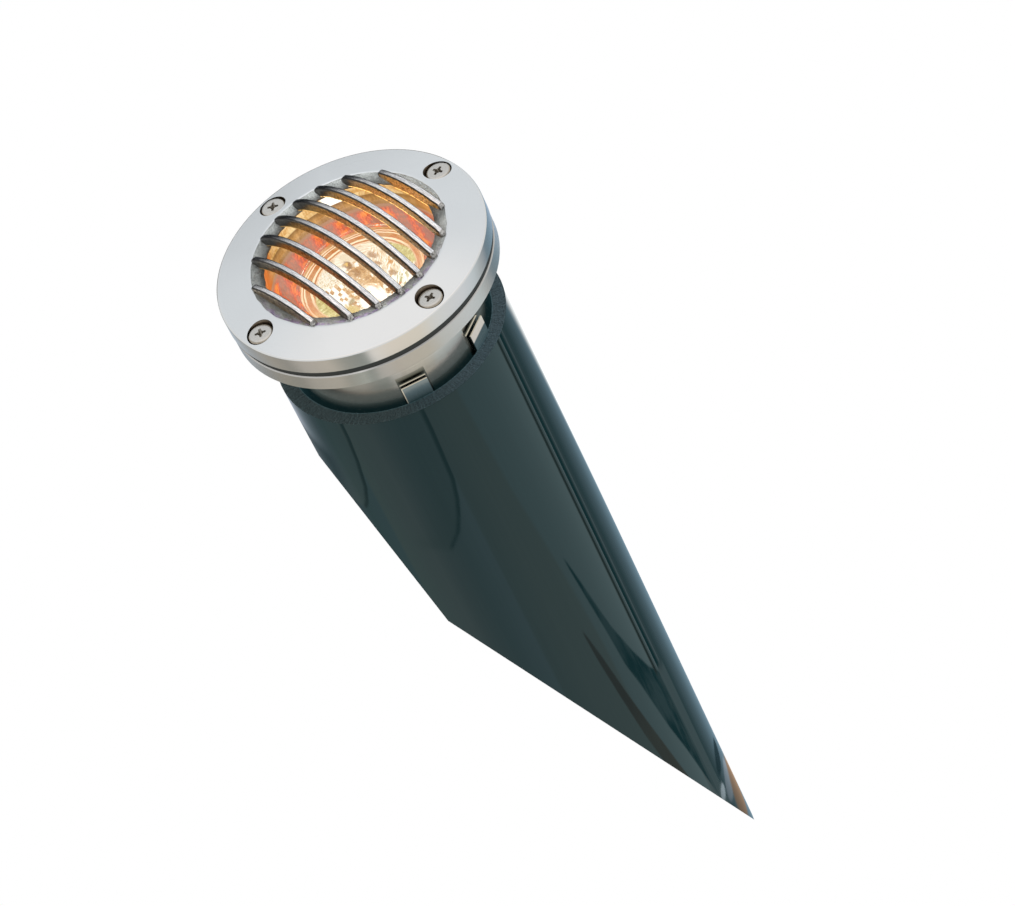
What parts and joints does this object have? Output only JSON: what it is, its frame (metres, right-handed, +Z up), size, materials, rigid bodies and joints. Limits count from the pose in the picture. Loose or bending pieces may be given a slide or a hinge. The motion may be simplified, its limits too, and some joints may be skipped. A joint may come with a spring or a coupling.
{
  "type": "in-ground well light",
  "caption": "Round in-ground well light: a steel housing with domed bar grille, held by spring clips in a tube sleeve cut to a stake point.",
  "frame": {"origin": "centre of the sleeve's upper rim, which lies at ground level", "axes": "+Z up along the axis of sleeve and fixture, +X along the grille bars"},
  "size_m": [0.1028, 0.1028, 0.3925],
  "materials": {
    "sleeve_pvc": "glossy dark blue-green moulded tube",
    "face_steel": "fine satin machined",
    "body_steel": "polished with fine turning marks",
    "gasket_rubber": "matt moulded",
    "lens_glass": "clear tempered",
    "screw_steel": "satin, pan head with cross recess",
    "clip_steel": "bright spring strip",
    "reflector_glass": "facetted dichroic coated",
    "lamp_glass": "clear",
    "filament": "glowing coil",
    "ceramic": "unglazed",
    "pin_metal": "bright plated",
    "inner_steel": "stamped strip",
    "lead_sleeve": "woven high-temperature sleeve",
    "connector": "crimp connector",
    "gland_brass": "turned"
  },
  "bodies": {
    "sleeve": {"sleeve": "sleeve_pvc"},
    "fixture": {"housing_cup": "body_steel", "flange_gasket": "gasket_rubber", "lens": "lens_glass", "lens_seal": "gasket_rubber", "grille_cap": "face_steel", "cap_screws": "screw_steel", "spring_clip_1": "clip_steel", "spring_clip_2": "clip_steel", "spring_clip_3": "clip_steel", "spring_clip_4": "clip_steel", "lamp_bracket": "inner_steel", "bracket_screws": "screw_steel", "gland_body": "gland_brass", "gland_washer": "gasket_rubber", "gland_locknut": "gland_brass", "gland_seal": "gasket_rubber", "gland_nut": "gland_brass"},
    "lamp": {"lamp_reflector": "reflector_glass", "lamp_front_glass": "lamp_glass", "lamp_capsule": "lamp_glass", "lamp_filament": "filament", "lamp_base": "ceramic", "lamp_pins": "pin_metal", "lamp_socket": "ceramic", "socket_contacts": "gland_brass", "socket_cradle": "inner_steel", "socket_screws": "screw_steel", "socket_leads": "lead_sleeve", "wire_connectors": "connector", "tilt_screws": "screw_steel"}
  },
  "joints": [
    {"name": "fixture_slide", "type": "slide", "parent": "sleeve", "child": "fixture", "axis": [0, 0, 1], "range_m": [-0.0266, 0.08]},
    {"name": "lamp_tilt", "type": "hinge", "parent": "fixture", "child": "lamp", "pos_m": [0, 0, -0.015], "axis": [0, 1, 0], "range_deg": [-12, 12]}
  ]
}
